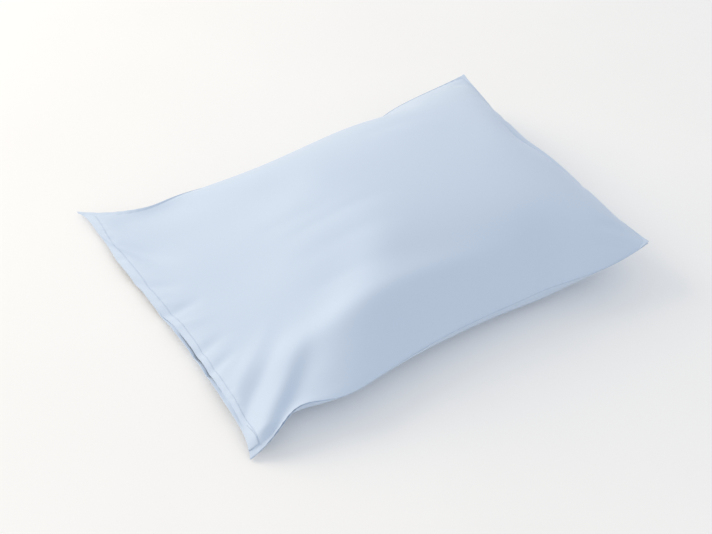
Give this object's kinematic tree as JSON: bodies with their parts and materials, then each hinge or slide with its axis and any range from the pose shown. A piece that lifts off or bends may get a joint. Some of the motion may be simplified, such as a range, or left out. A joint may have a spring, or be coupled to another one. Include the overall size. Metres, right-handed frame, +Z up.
{
  "type": "pillow in a pillowcase",
  "caption": "Soft bed pillow lying in a plain pale blue cotton pillowcase, plump in the middle, with a slack open mouth at one end.",
  "frame": {"origin": "on the surface the pillow lies on, below the middle of its bounding box", "axes": "+Z up, X along the pillow's length with the case's open mouth at -X and its closed end at +X, Y across the width"},
  "size_m": [0.738, 0.492, 0.145],
  "materials": {
    "case_cotton": "satin",
    "case_thread": "matte",
    "ticking_cotton": "matte",
    "ticking_thread": "matte",
    "polyester_fibre": "matte",
    "label_tape": "satin"
  },
  "bodies": {
    "pillowcase": {"case_top_panel": "case_cotton", "case_bottom_panel": "case_cotton", "case_seam_allowance": "case_thread", "mouth_hem_top": "case_cotton", "mouth_hem_bottom": "case_cotton", "hem_stitching_top": "case_thread", "hem_stitching_bottom": "case_thread", "size_tab": "label_tape"},
    "pillow": {"ticking_top": "ticking_cotton", "ticking_bottom": "ticking_cotton", "ticking_seam_allowance": "ticking_thread", "fibre_batt_top": "polyester_fibre", "fibre_batt_bottom": "polyester_fibre", "fibre_core": "polyester_fibre", "closing_stitches": "ticking_thread", "care_label": "label_tape"}
  },
  "joints": [
    {"name": "pillow_slide", "type": "slide", "parent": "pillowcase", "child": "pillow", "axis": [-1, 0, 0], "range_m": [0, 0.76], "deforming": ["case_top_panel", "case_bottom_panel", "case_seam_allowance", "mouth_hem_top", "mouth_hem_bottom", "hem_stitching_top", "hem_stitching_bottom", "size_tab"]}
  ]
}
